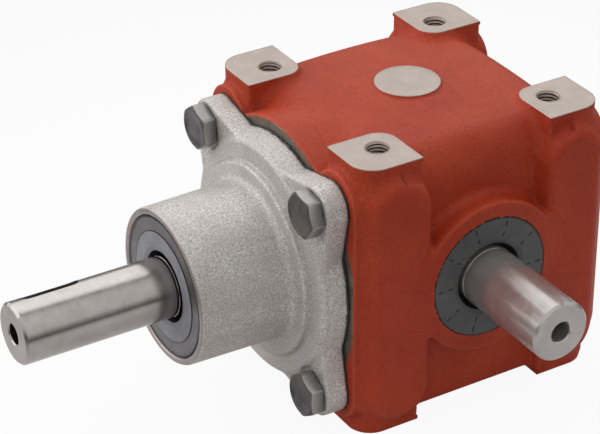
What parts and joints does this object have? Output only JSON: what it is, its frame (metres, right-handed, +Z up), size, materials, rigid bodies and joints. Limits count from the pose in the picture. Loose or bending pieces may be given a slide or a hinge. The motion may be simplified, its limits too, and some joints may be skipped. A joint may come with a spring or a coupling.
{
  "type": "bevel gearbox",
  "caption": "Right-angle bevel gearbox: lobed iron housing with threaded pads above and below, bolted alloy input flange, and two keyed shafts that turn together.",
  "frame": {"origin": "centre of the plane that the four lower pads stand on, straight below the crossing of the two shaft axes", "axes": "+X along the output shaft towards its free end, -Y along the input shaft towards its free end, +Z up through the upper pads"},
  "size_m": [0.1684, 0.2415, 0.12],
  "materials": {
    "painted_iron": "rough casting in a thin red-orange primer, machined pads bare",
    "cast_alloy": "fine-grained casting, light grey",
    "gasket": "dark sealing paper with a bead of sealant",
    "dark_steel": "black phosphate",
    "shaft_steel": "ground",
    "gear_steel": "hardened and oiled",
    "bearing_steel": "polished",
    "cage_polymer": "glass-filled polymer",
    "seal_rubber": "smooth nitrile rubber",
    "seal_case": "pressed sheet",
    "plug_steel": "zinc plated",
    "copper_washer": "soft copper"
  },
  "bodies": {
    "case": {"housing": "painted_iron", "input_flange": "cast_alloy", "flange_gasket": "gasket", "flange_bolts": "dark_steel", "nose_bearing_outer_ring": "bearing_steel", "throat_bearing_outer_ring": "bearing_steel", "output_bearing_outer_ring": "bearing_steel", "blind_bearing_outer_ring": "bearing_steel", "nose_circlip": "dark_steel", "output_circlip": "dark_steel", "blind_circlip": "dark_steel", "input_seal": "seal_rubber", "input_seal_case": "seal_case", "input_seal_spring": "bearing_steel", "output_seal": "seal_rubber", "output_seal_case": "seal_case", "output_seal_spring": "bearing_steel", "closing_cap": "seal_case", "fill_plug": "plug_steel", "fill_plug_washer": "copper_washer", "drain_plug": "plug_steel", "drain_plug_washer": "copper_washer"},
    "output_rotor": {"output_shaft": "shaft_steel", "output_gear": "gear_steel", "output_gear_key": "gear_steel", "output_gear_shim": "bearing_steel", "output_bearing_inner_ring": "bearing_steel", "blind_bearing_inner_ring": "bearing_steel"},
    "input_rotor": {"input_shaft": "shaft_steel", "input_gear": "gear_steel", "input_gear_key": "gear_steel", "input_gear_shim": "bearing_steel", "input_gear_circlip": "dark_steel", "nose_bearing_inner_ring": "bearing_steel", "throat_bearing_inner_ring": "bearing_steel"},
    "nose_cage": {"nose_bearing_balls": "bearing_steel", "nose_bearing_cage": "cage_polymer"},
    "throat_cage": {"throat_bearing_balls": "bearing_steel", "throat_bearing_cage": "cage_polymer"},
    "output_cage": {"output_bearing_balls": "bearing_steel", "output_bearing_cage": "cage_polymer"},
    "blind_cage": {"blind_bearing_balls": "bearing_steel", "blind_bearing_cage": "cage_polymer"}
  },
  "joints": [
    {"name": "output_spin", "type": "hinge", "parent": "case", "child": "output_rotor", "pos_m": [0, 0, 0.06], "axis": [1, 0, 0], "continuous": true},
    {"name": "input_spin", "type": "hinge", "parent": "case", "child": "input_rotor", "pos_m": [0, 0, 0.06], "axis": [0, 1, 0], "continuous": true},
    {"name": "nose_cage_spin", "type": "hinge", "parent": "case", "child": "nose_cage", "pos_m": [0, -0.092, 0.06], "axis": [0, 1, 0], "continuous": true},
    {"name": "throat_cage_spin", "type": "hinge", "parent": "case", "child": "throat_cage", "pos_m": [0, -0.0445, 0.06], "axis": [0, 1, 0], "continuous": true},
    {"name": "output_cage_spin", "type": "hinge", "parent": "case", "child": "output_cage", "pos_m": [0.0445, 0, 0.06], "axis": [1, 0, 0], "continuous": true},
    {"name": "blind_cage_spin", "type": "hinge", "parent": "case", "child": "blind_cage", "pos_m": [-0.0445, 0, 0.06], "axis": [1, 0, 0], "continuous": true}
  ],
  "couplings": [
    {"joint": "input_spin", "follows": "output_spin", "ratio": 1},
    {"joint": "nose_cage_spin", "follows": "output_spin", "ratio": 0.39688},
    {"joint": "throat_cage_spin", "follows": "output_spin", "ratio": 0.39688},
    {"joint": "output_cage_spin", "follows": "output_spin", "ratio": 0.39688},
    {"joint": "blind_cage_spin", "follows": "output_spin", "ratio": 0.39688}
  ]
}
